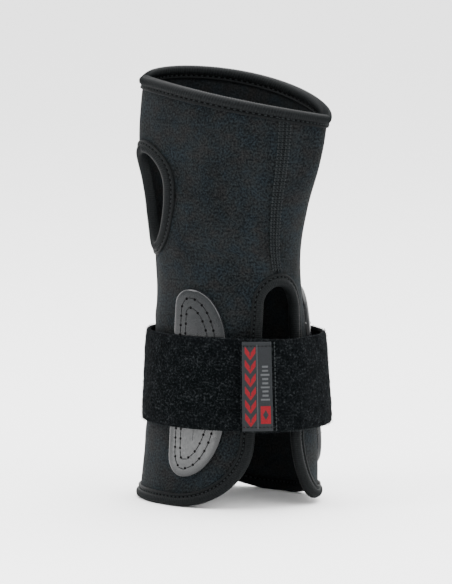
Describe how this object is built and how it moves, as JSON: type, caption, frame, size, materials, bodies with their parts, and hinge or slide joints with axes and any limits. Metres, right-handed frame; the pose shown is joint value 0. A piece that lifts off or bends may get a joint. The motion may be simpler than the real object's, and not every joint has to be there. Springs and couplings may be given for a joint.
{
  "type": "wrist guard",
  "caption": "Neoprene wrist guard sleeve with two sewn-on splints, a thumb hole, an open cuff and a hook-and-loop strap that folds open",
  "frame": {"origin": "on the floor plane under the middle of the guard, which stands on its cuff hem", "axes": "+Z from the cuff to the fingers, -Y out of the back of the hand, +X to the little-finger side, -X to the thumb side"},
  "size_m": [0.1082, 0.0844, 0.2296],
  "materials": {
    "neoprene": "matt knitted face",
    "binding": "ribbed",
    "splint": "satin",
    "thread": "matt",
    "strap": "fuzzy loop pile",
    "hook": "hook tape",
    "label": "woven"
  },
  "bodies": {
    "cuff": {"cuff_panel": "neoprene", "wrist_panel": "neoprene", "cuff_binding": "binding", "dorsal_splint": "splint", "dorsal_splint_outer_thread": "thread", "dorsal_splint_inner_thread": "thread", "palmar_splint": "splint", "palmar_splint_outer_thread": "thread", "palmar_splint_inner_thread": "thread", "strap_fixed": "strap", "anchor_thread": "thread"},
    "hand": {"hand_panel": "neoprene", "finger_binding": "binding", "thumb_binding": "binding", "seam_thread": "thread"},
    "strap_ulnar": {"strap_ulnar": "strap"},
    "strap_bridge": {"strap_bridge": "strap"},
    "strap_tab": {"strap_tab": "strap", "hook_patch": "hook", "label": "label", "label_upper_thread": "thread", "label_lower_thread": "thread", "tab_thread": "thread"}
  },
  "joints": [
    {"name": "wrist_flex", "type": "hinge", "parent": "cuff", "child": "hand", "pos_m": [-0.00327, 0.00101, 0.1243], "axis": [1, 0, 0], "range_deg": [-18, 18], "stiffness_Nm_per_rad": 0.25, "deforming": ["wrist_panel"]},
    {"name": "strap_fold_palm", "type": "hinge", "parent": "cuff", "child": "strap_ulnar", "pos_m": [0.04124, 0.02566, 0.06675], "axis": [-0.0548, -0.038, 0.9978], "range_deg": [0, 75]},
    {"name": "strap_fold_edge", "type": "hinge", "parent": "strap_ulnar", "child": "strap_bridge", "pos_m": [0.05205, -0.00039, 0.06675], "axis": [-0.0679, 0.0022, 0.9977], "range_deg": [0, 90]},
    {"name": "tab_peel", "type": "hinge", "parent": "strap_bridge", "child": "strap_tab", "pos_m": [0.03848, -0.03116, 0.06675], "axis": [-0.0492, 0.0444, 0.9978], "range_deg": [0, 60]}
  ]
}
